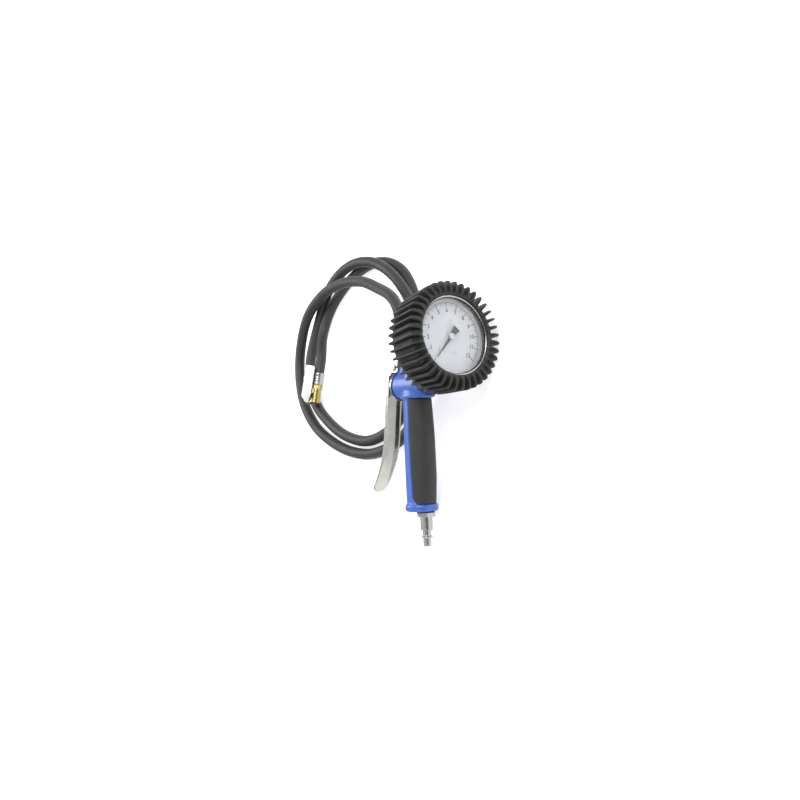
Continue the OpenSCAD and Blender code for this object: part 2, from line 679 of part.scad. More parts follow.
// ---- chuck ----
module chuck_nipple() {
    color("Goldenrod") chuck_frame() tube(3.1, 1.5, chuck_back + 4);
}
module chuck_body() {
    color("Gold") chuck_frame() difference() {
        union() {
            translate([0, 0, chuck_back]) cylinder(r = chuck_r + 0.8, h = 4.5, $fn = 6);
            translate([0, 0, chuck_back + 3]) cylinder(r = chuck_r, h = chuck_len - 4);
            translate([0, 0, chuck_front - 2]) cylinder(r = rim_r, h = 2);
            // lug for the clip plate
            translate([0, -clip_lug_half, clip_pin_z - 3]) cube([clip_pin_x, 2 * clip_lug_half, 6]);
            translate([clip_pin_x, 0, clip_pin_z]) rotate([90, 0, 0])
                cylinder(r = 3, h = 2 * clip_lug_half, center = true);
        }
        translate([0, 0, chuck_back - 1]) cylinder(r = 3.1 + run_fit, h = 5 + run_fit);
        translate([0, 0, chuck_back]) cylinder(r = 1.5, h = chuck_len);
        translate([0, 0, seal_z - chuck_seal_t - poppet_room]) cylinder(r = 2.7, h = poppet_room + 3);
        translate([0, 0, seal_z - chuck_seal_t]) cylinder(r = mouth_r + seal_grip, h = chuck_seal_t + 1.6);
        translate([0, 0, seal_z]) cylinder(r = mouth_r, h = chuck_len);
        translate([0, 0, chuck_front - 0.6]) cylinder(r1 = mouth_r, r2 = mouth_r + 0.7, h = 0.7);
        translate([clip_pin_x, 0, clip_pin_z]) rotate([90, 0, 0])
            cylinder(r = clip_pin_r + run_fit, h = 40, center = true);
        // slot between the two lug cheeks, for the clip spring
        translate([chuck_r + 0.2, -2.6, clip_pin_z - 5]) cube([10, 5.2, 10]);
    }
}
module chuck_seal() {
    color("Black") chuck_frame() translate([0, 0, seal_z - chuck_seal_t])
        tube(mouth_r + seal_grip - run_fit, poppet_r + 0.35, chuck_seal_t);
}
module chuck_poppet() {
    color("Silver") chuck_frame() {
        translate([0, 0, seal_z - chuck_seal_t - 1.1 - flat_fit]) cylinder(r = 2.5, h = 1.1);
        translate([0, 0, seal_z - chuck_seal_t - 0.5]) cylinder(r = poppet_r, h = chuck_seal_t + 1.8);
    }
}
module chuck_poppet_spring() {
    color("Gray") chuck_frame() translate([0, 0, seal_z - chuck_seal_t - poppet_room + 0.4])
        swept(helix(2.1, poppet_room - 2, 3, 12), 0.25, 6);
}
module clip_cheek() {
    back = clip_back - clip_sheet / 2;
    polygon([
        [back, -19], [back - 9, -19], [back - 10.4, -17], [back - 10.4, clip_pin_z + 5],
        [back - 8.5, chuck_front - 1], [back - 8.5, chuck_front + 1.4], [back - 5, chuck_front + 1.4],
        [back - 1, chuck_front - 3], [back, chuck_front - 5]
    ]);
}
module chuck_clip_lever() {
    color("WhiteSmoke") chuck_frame() difference() {
        union() {
            for (side = [-1, 1]) translate([0, side * (clip_half + clip_sheet / 2), 0]) rotate([90, 0, 0])
                linear_extrude(clip_sheet, center = true) clip_cheek();
            translate([clip_back - clip_sheet, -clip_half - clip_sheet, -19])
                cube([clip_sheet, 2 * (clip_half + clip_sheet), chuck_front - 5 + 19]);
            // hooked end that grips the tire valve's thread
            translate([mouth_r + 0.3, -clip_half - clip_sheet, chuck_front + 0.4])
                cube([clip_back - 8.9 - mouth_r, 2 * (clip_half + clip_sheet), 1]);
            // inward bosses that ride on the pin
            for (side = [-1, 1]) translate([clip_pin_x, side * (clip_half + clip_lug_half + 0.3) / 2, clip_pin_z])
                rotate([90, 0, 0]) cylinder(r = 2.4, h = clip_half - clip_lug_half - 0.3 + 0.2, center = true);
        }
        translate([clip_pin_x, 0, clip_pin_z]) rotate([90, 0, 0])
            cylinder(r = clip_pin_r + run_fit, h = 40, center = true);
        translate([0, 0, chuck_front]) cylinder(r = mouth_r + 1, h = 3);
    }
}
module chuck_clip_pin() {
    color("Silver") chuck_frame() translate([clip_pin_x, 0, clip_pin_z]) rotate([90, 0, 0])
        cylinder(r = clip_pin_r, h = 2 * (clip_half + clip_sheet) + 1, center = true);
}
module chuck_clip_spring() {
    color("Gray") chuck_frame() translate([clip_pin_x, -2, clip_pin_z]) rotate([-90, 0, 0])
        swept(helix(clip_pin_r + 0.65, 4, 4, 12), 0.35, 6);
}

// ---- boot ----
module boot_skin() {
    back_r = rib_back_r - rib_h;
    front_r = rib_front_r - rib_h;
    rotate_extrude($fn = 96) polygon([
        [case_r - 6, boot_back_s], [back_r - 1.5, boot_back_s], [back_r, boot_back_s + 1.5],
        [front_r, boot_front_s - 8], [front_r - 1.2, boot_front_s - 4.5], [front_r - 3.6, boot_front_s - 2],
        [front_r - 6.5, boot_front_s - 0.4], [boot_mouth_r + 1, boot_front_s], [boot_mouth_r, boot_front_s - 0.7],
        [boot_mouth_r, mouth_s], [case_r + boot_gap, mouth_s], [case_r + boot_gap, case_back - boot_gap],
        [case_r - 6, case_back - boot_gap]
    ]);
}
module boot_rib() {
    rotate([90, 0, 0]) linear_extrude(rib_t, center = true) polygon([
        [rib_back_r - rib_h - 1.5, rib_back_s], [rib_back_r - 1, rib_back_s], [rib_back_r, rib_back_s + 1.5],
        [rib_front_r, rib_front_s - 4], [rib_front_r - 0.8, rib_front_s - 1.4], [rib_front_r - 2.6, rib_front_s],
        [rib_front_r - 6.5, rib_front_s + 1.4], [boot_mouth_r + 3.8, rib_front_s + 1.6],
        [boot_mouth_r + 3, rib_front_s + 0.4], [boot_mouth_r + 3.5, rib_front_s - 1.5],
        [rib_front_r - rib_h - 2.5, rib_front_s - 5]
    ]);
}
module gauge_boot() {
    color("DarkSlateGray") gauge_frame() union() {
        boot_skin();
        for (i = [0 : rib_count - 1]) rotate([0, 0, 360 * i / rib_count]) boot_rib();
    }
}

// ---- gauge ----
module gauge_case() {
    skirt_s = bezel_s - bezel_skirt - gasket_t - lens_t;
    color("Gray") gauge_frame() difference() {
        union() {
            translate([0, 0, case_back]) cylinder(r = case_r, h = skirt_s - case_back - flat_fit);
            translate([0, 0, case_back]) cylinder(r = case_r - bezel_wall - flat_fit, h = case_depth);
        }
        translate([0, 0, case_back + 1.5]) cylinder(r = case_in_r, h = case_depth);
        translate([0, -socket_drop, case_back - 1]) cylinder(r = 6 + flat_fit, h = 4);
    }
}
module bezel_ring() {
    skirt_s = bezel_s - bezel_skirt - gasket_t - lens_t;
    color("Gainsboro") gauge_frame() rotate_extrude($fn = 96) polygon([
        [case_r - bezel_wall, skirt_s], [case_r, skirt_s], [case_r, front_s - 0.6], [case_r - 0.6, front_s],
        [case_r - bezel_lip + 0.8, front_s], [case_r - bezel_lip, front_s - 0.5], [case_r - bezel_lip, bezel_s + 0.05],
        [case_r - bezel_wall, bezel_s + 0.05]
    ]);
}
module lens() {
    color("LightCyan", 0.4) gauge_frame() translate([0, 0, lens_s]) cylinder(r = case_r - bezel_wall - 0.3, h = lens_t);
}
module lens_gasket() {
    color("Black") gauge_frame() translate([0, 0, rim_s])
        tube(case_r - bezel_wall - 0.3, case_r - bezel_lip, gasket_t);
}
module dial_face() {
    color("White") gauge_frame() translate([0, 0, dial_s]) difference() {
        cylinder(r = case_in_r - 0.2, h = dial_t);
        translate([0, 0, -1]) cylinder(r = 2, h = dial_t + 2);
        for (side = [-1, 1]) translate([post_x, side * post_y, -1]) cylinder(r = 0.9, h = dial_t + 2);
    }
}
module dial_screws() {
    color("Silver") gauge_frame() for (side = [-1, 1]) translate([post_x, side * post_y, 0]) {
        translate([0, 0, dial_s + dial_t]) cylinder(r = 1.6, h = 0.7);
        translate([0, 0, high_plate_s + 0.2]) cylinder(r = 0.8, h = dial_s + dial_t - high_plate_s);
    }
}
module pointer() {
    reach = pointer_len;
    color("Black") gauge_frame() translate([0, 0, dial_s + 2.6]) rotate([0, 0, dial_sweep / 2 - 270])
        difference() {
            union() {
                linear_extrude(0.6) polygon([[0, 1.3], [-tail_len, tail_half], [-tail_len, -tail_half], [0, -1.3],
                    [reach, -0.35], [reach + 0.6, 0], [reach, 0.35]]);
                translate([0, 0, -0.8]) cylinder(r = 1.8, h = 1.4);
            }
            translate([0, 0, -2]) cylinder(r = arbor_r + run_fit / 2, h = 4);
        }
}
module pointer_hub() {
    color("Silver") gauge_frame() translate([0, 0, dial_s + 3.2 + flat_fit]) cylinder(r = hub_r, h = 0.8);
}
module gauge_socket() {
    color("Goldenrod") gauge_frame() difference() {
        union() {
            translate([0, -socket_drop, case_back - socket_reach]) cylinder(r = socket_r - 3, h = socket_reach - 10);
            translate([0, -socket_drop, case_back - 11]) cylinder(r = socket_r + 0.8, h = 8, $fn = 6);
            translate([0, -socket_drop, case_back - 4]) cylinder(r = socket_r, h = 4 - flat_fit);
            translate([0, -socket_drop, case_back - 1]) cylinder(r = 6, h = 3);
            translate([1 - socket_r, -tube_r - 4, case_back + 1.5 + flat_fit])
                cube([2 * socket_r - 2, tube_r - 1, low_plate_s - case_back - 1.5 - flat_fit]);
            rotate([0, 0, tube_root]) translate([0, 0, low_plate_s - 1]) rotate_extrude(angle = 30)
                translate([tube_r - 4.5, 0]) square([8.5, tube_w + 4]);
        }
        translate([0, -socket_drop, case_back - socket_reach - 1]) cylinder(r = 1.6, h = socket_reach + 6);
        translate([0, -socket_drop, case_back + 4]) rotate([90, 0, 0]) cylinder(r = 1.2, h = tube_r - socket_drop);
    }
}
module bourdon_tube() {
    mid_s = low_plate_s + 6;
    color("Peru") gauge_frame() {
        rotate([0, 0, tube_tip]) rotate_extrude(angle = tube_root - tube_tip) translate([tube_r, mid_s])
            difference() {
                polygon([
                    [-tube_t / 2, 0.7 - tube_w / 2], [0.7 - tube_t / 2, -tube_w / 2],
                    [tube_t / 2 - 0.7, -tube_w / 2], [tube_t / 2, 0.7 - tube_w / 2],
                    [tube_t / 2, tube_w / 2 - 0.7], [tube_t / 2 - 0.7, tube_w / 2],
                    [0.7 - tube_t / 2, tube_w / 2], [-tube_t / 2, tube_w / 2 - 0.7]
                ]);
                square([tube_t - 1, tube_w - 1.6], center = true);
            }
        // closed tip with its tab under the link
        rotate([0, 0, tube_tip - 4]) translate([0, 0, mid_s]) rotate_extrude(angle = 5)
            translate([tube_r - 1.7, -tube_w / 2]) square([3.4, tube_w]);
        translate([tube_r * cos(tube_tip - 4) - 2, -17.6, sector_s + 0.3])
            cube([3, 9.6 + tube_r * sin(tube_tip - 4) + 8, 0.8]);
    }
}
module movement_plate() {
    linear_extrude(plate_t) polygon([
        [post_x - 6, -post_y - 3], [post_x + 3, -post_y - 3], [arbor_gap + 3, -5], [arbor_gap + 4, 0],
        [arbor_gap + 3, 5], [post_x + 3, post_y + 3], [post_x - 6, post_y + 3], [-8.5, 4], [-8.5, -4]
    ]);
}
module movement_plates() {
    color("Khaki") gauge_frame() difference() {
        union() {
            for (s = [low_plate_s, high_plate_s]) translate([0, 0, s]) movement_plate();
            for (side = [-1, 1]) translate([post_x, side * post_y, low_plate_s + 0.5])
                cylinder(r = 1.6, h = dial_s - low_plate_s - 0.5);
            // stud that holds the hairspring's outer end
            translate([-7.5, 0, high_plate_s - 3.2]) cylinder(r = 0.8, h = 4);
        }
        for (x = [0, arbor_gap]) translate([x, 0, low_plate_s - 1])
            cylinder(r = arbor_r + arbor_play, h = high_plate_s - low_plate_s + plate_t + 2);
        for (side = [-1, 1]) translate([post_x, side * post_y, high_plate_s])
            cylinder(r = 0.85, h = 20);
    }
}
module sector_gear() {
    first = 180 - sector_turn - 4;
    count = ceil((sector_turn + 10) / (360 / sector_wheel));
    step = 360 / sector_wheel;
    start = 180 + step / 2 + step - (count - 1) * step;
    root = sector_r - 1.1 * gear_m;
    ends = [start - step / 2, 180 + 2 * step];
    color("Gold") gauge_frame() translate([arbor_gap, 0, 0]) {
        translate([0, 0, sector_s]) difference() {
            union() {
                linear_extrude(sector_t) polygon(concat(
                    [for (k = [0 : count - 1]) each tooth(gear_m, sector_wheel, 0.03, start + k * step)],
                    [for (k = [12 : -1 : 0]) polar(root - 2.2, ends[0] + (ends[1] - ends[0]) * k / 12)]
                ));
                for (a = [ends[0] + 3, ends[1] - 3]) rotate([0, 0, a]) translate([0, -1.1, 0])
                    cube([root - 1, 2.2, sector_t]);
                cylinder(r = 2.6, h = sector_t);
                rotate([0, 0, tail_turn]) translate([0, -1.1, 0]) cube([tail_arm, 2.2, sector_t]);
                translate(concat(polar(tail_arm, tail_turn), [0])) cylinder(r = 1.6, h = sector_t);
            }
            translate(concat(polar(tail_arm, tail_turn), [-1])) cylinder(r = 0.6 + run_fit, h = sector_t + 2);
        }
        translate([0, 0, low_plate_s + 0.1]) cylinder(r = arbor_r, h = high_plate_s + plate_t - low_plate_s - 0.2);
        translate([0, 0, low_plate_s + plate_t + 0.2]) cylinder(r = 1.5, h = high_plate_s - low_plate_s - plate_t - 0.4);
    }
}
module pinion_shaft() {
    color("Silver") gauge_frame() {
        translate([0, 0, low_plate_s + 0.1]) cylinder(r = arbor_r, h = dial_s + 3.2 - low_plate_s - 0.1);
        translate([0, 0, sector_s - 0.6]) linear_extrude(sector_t + 1.2)
            polygon([for (k = [0 : pinion_teeth - 1]) each tooth(gear_m, pinion_teeth, 0.03, 360 * k / pinion_teeth)]);
        translate([0, 0, low_plate_s + plate_t + 0.2]) cylinder(r = 1.4, h = sector_s - 0.6 - low_plate_s - plate_t - 0.2);
        translate([0, 0, sector_s + sector_t + 0.6])
            cylinder(r = 1.2, h = high_plate_s - 0.2 - sector_s - sector_t - 0.6);
    }
}
module link() {
    joint = [arbor_gap, 0] + polar(tail_arm, tail_turn);
    far = [tube_r * cos(tube_tip - 4) - 0.5, -16];
    along = far - joint;
    color("Silver") gauge_frame() translate([joint[0], joint[1], sector_s + sector_t + 0.2]) {
        rotate([0, 0, atan2(along[1], along[0])]) translate([0, -0.9, 0]) cube([norm(along), 1.8, 0.8]);
        cylinder(r = 1.5, h = 0.8);
        translate([along[0], along[1], 0]) cylinder(r = 1.5, h = 0.8);
        translate([0, 0, -sector_t - 0.5]) cylinder(r = 0.6, h = sector_t + 1);
    }
}
module hairspring() {
    turns = 3;
    steps = 16 * turns;
    inner = 1.6;
    outer = 6.5;
    color("SteelBlue") gauge_frame() translate([0, 0, high_plate_s - 2.8]) linear_extrude(0.9) polygon(concat(
        [for (i = [0 : steps]) polar(inner + (outer - inner) * i / steps + 0.15, 180 + 360 * turns * i / steps)],
        [for (i = [steps : -1 : 0]) polar(inner + (outer - inner) * i / steps - 0.15, 180 + 360 * turns * i / steps)]
    ));
}

handle_body();
grip_pad();
inlet_plug();
plug_washer();
valve_cap();
valve_stem();
valve_seal();
valve_spring();
lever();
lever_pin();
lever_pin_clip();
outlet_fitting();
outlet_ferrule();
hose_lead();
hose_coil();
hose_end_ferrule();
chuck_nipple();
chuck_body();
chuck_seal();
chuck_poppet();
chuck_poppet_spring();
chuck_clip_lever();
chuck_clip_pin();
chuck_clip_spring();
gauge_boot();
gauge_case();
bezel_ring();
lens();
lens_gasket();
dial_face();
dial_screws();
pointer();
pointer_hub();
gauge_socket();
bourdon_tube();
movement_plates();
sector_gear();
pinion_shaft();
link();
hairspring();
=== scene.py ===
"""Looks of the hand-held tire inflator: camera, light, finishes and detailed pieces over the CAD frame."""

from __future__ import annotations

import json
import logging
import math
from dataclasses import dataclass
from typing import Callable, Sequence

import bmesh
import bpy
import numpy as np
from mathutils import Matrix, Vector

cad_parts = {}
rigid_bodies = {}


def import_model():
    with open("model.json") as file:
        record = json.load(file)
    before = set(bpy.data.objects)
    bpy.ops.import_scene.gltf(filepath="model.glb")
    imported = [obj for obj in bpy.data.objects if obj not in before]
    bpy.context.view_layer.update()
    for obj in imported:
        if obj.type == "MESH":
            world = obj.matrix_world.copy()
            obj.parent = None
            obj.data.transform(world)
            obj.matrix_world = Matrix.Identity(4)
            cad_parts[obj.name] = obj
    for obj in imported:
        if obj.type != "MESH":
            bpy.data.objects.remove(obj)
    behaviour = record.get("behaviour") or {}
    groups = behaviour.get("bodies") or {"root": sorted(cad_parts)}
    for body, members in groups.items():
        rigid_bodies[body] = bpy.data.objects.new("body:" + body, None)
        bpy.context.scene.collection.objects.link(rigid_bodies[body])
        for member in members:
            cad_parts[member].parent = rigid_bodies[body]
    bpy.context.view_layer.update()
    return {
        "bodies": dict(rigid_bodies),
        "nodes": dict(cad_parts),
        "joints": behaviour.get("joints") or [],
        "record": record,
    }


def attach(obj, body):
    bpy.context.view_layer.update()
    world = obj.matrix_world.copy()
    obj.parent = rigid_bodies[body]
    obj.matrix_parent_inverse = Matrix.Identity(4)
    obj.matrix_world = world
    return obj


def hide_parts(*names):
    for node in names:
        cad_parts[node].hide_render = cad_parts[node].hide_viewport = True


LOG = logging.getLogger("inflator")
MM = 0.001
Colour = tuple[float, float, float]

# ------------------------------------------------------------------ frames
# The tool's own frame has its origin where the gauge axis crosses the handle axis, +Z up the handle,
# -Y on the dial side and +Y on the trigger side, in millimetres.
GAUGE_TILT = 8.0
LIE_ANGLE = 12.577184
REST_HEIGHT = 50.085052
SHIFT = np.array([-63.749046, 1.464818, 0.0])


def lay_down(points: np.ndarray) -> np.ndarray:
    """Takes points of the tool's frame to the row frame.

    Args:
        points: Array of shape (..., 3), in millimetres.

    Returns:
        The same points as the tool lies on its side, in millimetres.
    """
    p = np.asarray(points, float)
    s, c = math.sin(math.radians(LIE_ANGLE)), math.cos(math.radians(LIE_ANGLE))
    x, y, z = p[..., 0], p[..., 1], p[..., 2]
    out = np.stack([x * s + z * c, y, z * s - x * c + REST_HEIGHT], -1)
    return out - SHIFT


def turn_down(v: Sequence[float]) -> np.ndarray:
    """A direction of the tool's frame, in the row frame."""
    return lay_down(np.asarray(v, float)) - lay_down(np.zeros(3))


def gauge_point(points: np.ndarray) -> np.ndarray:
    """Takes points of the gauge's frame, whose z runs out through the dial, to the row frame.

    Args:
        points: Array of shape (..., 3), in millimetres.

    Returns:
        The points in the row frame, in millimetres.
    """
    p = np.asarray(points, float)
    s, c = math.sin(math.radians(GAUGE_TILT)), math.cos(math.radians(GAUGE_TILT))
    return lay_down(np.stack([p[..., 0], p[..., 1] * s - p[..., 2] * c, p[..., 1] * c + p[..., 2] * s], -1))


# ------------------------------------------------------------------ hose route
OUTLET = np.array([0.0, 2.0, -10.0])
OUTLET_ANGLE = 60.0
HOSE_START = 15.1
FERRULE_START = 12.6
FERRULE_LEN = 14.5
FERRULE_FLOOR = 2.5
HOSE_END = (-15.0, 241.0, 16.0)
ROUTE = (
    (44, 35, 53), (62, 60, 48), (77, 98, 42), (91, 142, 36),
    (96, 190, 32), (89, 238, 28), (65, 281, 21), (21, 304, 10), (-26, 291, 6),
    (-61, 253, 6), (-83, 205, 6), (-95, 155, 6), (-95, 108, 6), (-78, 60, 8),
    (-40, 29, 12), (10, 30, 17), (60, 62, 19), (98, 106, 19), (120, 156, 19),
    (121, 207, 18), (100, 250, 14), (60, 276, 7), (12, 283, 6), (-31, 261, 6),
    (-60, 218, 6), (-78, 169, 6), (-81, 120, 6), (-60, 76, 6), (-16, 57, 6),
    (34, 61, 6), (80, 83, 6), (111, 116, 6), (124, 162, 6), (115, 208, 6),
    (86, 247, 6), (51, 259, 8), (14, 241, 16),
)


def catmull_rom(points: np.ndarray, steps: int) -> np.ndarray:
    """Smooth line through points, with the ends' tangents along the first and last span.

    Each span is the Catmull-Rom cubic of its two ends and their outer neighbours.

    Args:
        points: Array (n, d), in space or in the plane of a profile.
        steps: Points per span.

    Returns:
        Array ((n - 1) * steps + 1, d).
    """
    p = np.vstack([2 * points[0] - points[1], points, 2 * points[-1] - points[-2]])
    t = (np.arange(steps) / steps)[:, None, None]
    a, b, c, d = p[:-3], p[1:-2], p[2:-1], p[3:]
    out = 0.5 * (2 * b + (c - a) * t + (2 * a - 5 * b + 4 * c - d) * t**2 + (3 * b - a - 3 * c + d) * t**3)
    return np.vstack([out.transpose(1, 0, 2).reshape(-1, points.shape[1]), points[-1:]])


def hose_line(steps: int = 6) -> np.ndarray:
    """Centreline of the hose in the row frame, in millimetres.

    Args:
        steps: Points per span.

    Returns:
        Array (n, 3).
    """
    rad = math.radians(OUTLET_ANGLE)
    way = turn_down([0.0, math.cos(rad), math.sin(rad)])
    root = lay_down(OUTLET)
    heads = [root + HOSE_START * way, root + (FERRULE_START + FERRULE_LEN + 1) * way,
             root + (FERRULE_START + FERRULE_LEN + 13) * way]
    free = np.array(ROUTE, float) - SHIFT
    last = np.array([HOSE_END]) - SHIFT
    inner = np.vstack([heads[1:], free])
    return np.vstack([heads[:1], catmull_rom(inner, steps), last])


# ------------------------------------------------------------------ camera and light
# view camera in the tool's frame: its place in millimetres, and two directions
CAMERA_PLACE = [-633.8, -886.3, -61.4]
CAMERA_FORWARD = [0.569, 0.822, 0.012]
CAMERA_UP = [0.031, -0.035, 0.999]
WORLD_STRENGTH = 0.85
ROOM_SIDE = (-0.18, -0.79, 0.59)
# name, place and size in metres, power in watts
LAMPS = (
    ("key", (0.55, -0.55, 1.0), 0.7, 15.0),
    ("fill", (-0.9, -0.4, 0.7), 0.8, 5.0),
    ("rim", (0.2, 0.9, 0.8), 0.6, 6.0),
)
FLOOR_HALF = 6
FLOOR_LEVEL = -2e-4


def make_camera() -> bpy.types.Object:
    """Sets the view camera from its place and directions in the tool's frame.

    Returns:
        The camera.
    """
    data = bpy.data.cameras.new("view_camera")
    data.lens, data.sensor_width, data.sensor_fit = 50.0, 36.0, "HORIZONTAL"
    data.clip_start, data.clip_end = 0.05, 20
    cam = bpy.data.objects.new("view_camera", data)
    forward = turn_down(CAMERA_FORWARD)
    up = turn_down(CAMERA_UP)
    forward /= np.linalg.norm(forward)
    right = np.cross(forward, up)
    right /= np.linalg.norm(right)
    up = np.cross(right, forward)
    place = lay_down(CAMERA_PLACE) * MM
    m = Matrix.Identity(4)
    for i in range(3):
        m[i][0], m[i][1], m[i][2], m[i][3] = right[i], up[i], -forward[i], place[i]
    cam.matrix_world = m
    bpy.context.scene.collection.objects.link(cam)
    bpy.context.scene.camera = cam
    return cam


def make_light() -> None:
    """Soft studio light: a bright world and large panels."""
    world = bpy.data.worlds.new("studio")
    bpy.context.scene.world = world
    world.use_nodes = True
    tree = world.node_tree
    back = tree.nodes["Background"]
    back.inputs["Strength"].default_value = WORLD_STRENGTH
    place, split = tree.nodes.new("ShaderNodeTexCoord"), tree.nodes.new("ShaderNodeSeparateXYZ")
    ramp = tree.nodes.new("ShaderNodeValToRGB")
    ramp.color_ramp.elements[0].position, ramp.color_ramp.elements[0].color = 0.12, (0.16, 0.16, 0.16, 1)
    ramp.color_ramp.elements[1].position, ramp.color_ramp.elements[1].color = 0.62, (1, 1, 1, 1)
    tree.links.new(place.outputs["Generated"], split.inputs[0])
    tree.links.new(split.outputs["Z"], ramp.inputs["Fac"])
    # a dim room on the camera's side gives bare metal its dark bands
    toward = tree.nodes.new("ShaderNodeVectorMath")
    toward.operation = "DOT_PRODUCT"
    toward.inputs[1].default_value = ROOM_SIDE
    dim = tree.nodes.new("ShaderNodeMapRange")
    dim.inputs["From Min"].default_value, dim.inputs["From Max"].default_value = 0.45, 0.85
    dim.inputs["To Min"].default_value, dim.inputs["To Max"].default_value = 1.25, 0.12
    room = tree.nodes.new("ShaderNodeVectorMath")
    room.operation = "SCALE"
    tree.links.new(place.outputs["Generated"], toward.inputs[0])
    tree.links.new(toward.outputs["Value"], dim.inputs["Value"])
    tree.links.new(ramp.outputs["Color"], room.inputs[0])
    tree.links.new(dim.outputs["Result"], room.inputs["Scale"])
    tree.links.new(room.outputs["Vector"], back.inputs["Color"])
    for name, spot, size, power in LAMPS:
        data = bpy.data.lights.new(name, "AREA")
        data.size, data.energy = size, power
        lamp = bpy.data.objects.new(name, data)
        lamp.location = spot
        lamp.rotation_mode = "QUATERNION"
        lamp.rotation_quaternion = (Vector((0, 0.1, 0)) - Vector(spot)).to_track_quat("-Z", "Y")
        bpy.context.scene.collection.objects.link(lamp)


def make_floor() -> None:
    """A plain pale floor under everything."""
    mesh = bpy.data.meshes.new("floor")
    corners = [(x * FLOOR_HALF, y * FLOOR_HALF, FLOOR_LEVEL) for x, y in ((-1, -1), (1, -1), (1, 1), (-1, 1))]
    mesh.from_pydata(corners, [], [(0, 1, 2, 3)])
    floor = bpy.data.objects.new("floor", mesh)
    mat = bpy.data.materials.new("floor_white")
    mat.use_nodes = True
    shader = mat.node_tree.nodes["Principled BSDF"]
    shader.inputs["Base Color"].default_value = (0.6, 0.6, 0.6, 1)
    shader.inputs["Roughness"].default_value = 0.9
    shader.inputs["Emission Color"].default_value = (1, 1, 1, 1)
    shader.inputs["Emission Strength"].default_value = 0.7
    mesh.materials.append(mat)
    bpy.context.scene.collection.objects.link(floor)


# ------------------------------------------------------------------ shared shader effects
Tree = bpy.types.NodeTree
Node = bpy.types.Node
Socket = bpy.types.NodeSocket
COARSE_SHARE = 0.22
BUMP_DEPTH = 0.0002
# noise scale, output, and the stretch of the noise that becomes 0 to 1
MOTTLES = ((45.0, "Tone", 0.35, 0.65), (130.0, "Smudge", 0.42, 0.68))
WEAR_BREAKS = 420.0


def node_group(name: str, inputs: Sequence[tuple[str, float]], outputs: Sequence[tuple[str, str]],
               build: Callable[[Tree, Node, Node], None]) -> Tree:
    """Makes one shader node group, once.

    Args:
        name: Name of the group.
        inputs: Names and defaults of its float inputs.
        outputs: Names and socket kinds of its outputs.
        build: Fills the group between its input and output nodes.

    Returns:
        The group.
    """
    if name in bpy.data.node_groups:
        return bpy.data.node_groups[name]
    tree = bpy.data.node_groups.new(name, "ShaderNodeTree")
    for label, value in inputs:
        tree.interface.new_socket(label, in_out="INPUT", socket_type="NodeSocketFloat").default_value = value
    for label, kind in outputs:
        tree.interface.new_socket(label, in_out="OUTPUT", socket_type=kind)
    build(tree, tree.nodes.new("NodeGroupInput"), tree.nodes.new("NodeGroupOutput"))
    return tree


def fill_grain(tree: Tree, source: Node, sink: Node) -> None:
    """Fine grain: a bump of small noise over a coarser one.

    Args:
        tree: The group.
        source: Its input node.
        sink: Its output node.
    """
    place = tree.nodes.new("ShaderNodeTexCoord")
    fine, coarse = tree.nodes.new("ShaderNodeTexNoise"), tree.nodes.new("ShaderNodeTexNoise")
    fine.inputs["Detail"].default_value = 3.0
    shrink = tree.nodes.new("ShaderNodeMath")
    shrink.operation = "MULTIPLY"
    shrink.inputs[1].default_value = COARSE_SHARE
    tree.links.new(source.outputs["Scale"], fine.inputs["Scale"])
    tree.links.new(source.outputs["Scale"], shrink.inputs[0])
    tree.links.new(shrink.outputs[0], coarse.inputs["Scale"])
    for noise in (fine, coarse):
        tree.links.new(place.outputs["Object"], noise.inputs["Vector"])
    both = tree.nodes.new("ShaderNodeMath")
    both.operation = "ADD"
    tree.links.new(fine.outputs["Fac"], both.inputs[0])
    tree.links.new(coarse.outputs["Fac"], both.inputs[1])
    bump = tree.nodes.new("ShaderNodeBump")
    tree.links.new(source.outputs["Strength"], bump.inputs["Strength"])
    bump.inputs["Distance"].default_value = BUMP_DEPTH
    tree.links.new(both.outputs[0], bump.inputs["Height"])
    tree.links.new(bump.outputs["Normal"], sink.inputs["Normal"])


def fill_mottle(tree: Tree, source: Node, sink: Node) -> None:
    """Slow changes of tone, and the handling marks that change the gloss.

    Args:
        tree: The group.
        source: Its input node.
        sink: Its output node.
    """
    place = tree.nodes.new("ShaderNodeTexCoord")
    for scale, label, low, high in MOTTLES:
        noise = tree.nodes.new("ShaderNodeTexNoise")
        noise.inputs["Scale"].default_value = scale
        noise.inputs["Detail"].default_value = 4.0
        noise.inputs["Roughness"].default_value = 0.6
        tree.links.new(place.outputs["Object"], noise.inputs["Vector"])
        ramp = tree.nodes.new("ShaderNodeMapRange")
        ramp.inputs["From Min"].default_value = low
        ramp.inputs["From Max"].default_value = high
        tree.links.new(noise.outputs["Fac"], ramp.inputs["Value"])
        scaled = tree.nodes.new("ShaderNodeMath")
        scaled.operation = "MULTIPLY"
        tree.links.new(ramp.outputs["Result"], scaled.inputs[0])
        tree.links.new(source.outputs["Amount"], scaled.inputs[1])
        tree.links.new(scaled.outputs[0], sink.inputs[label])


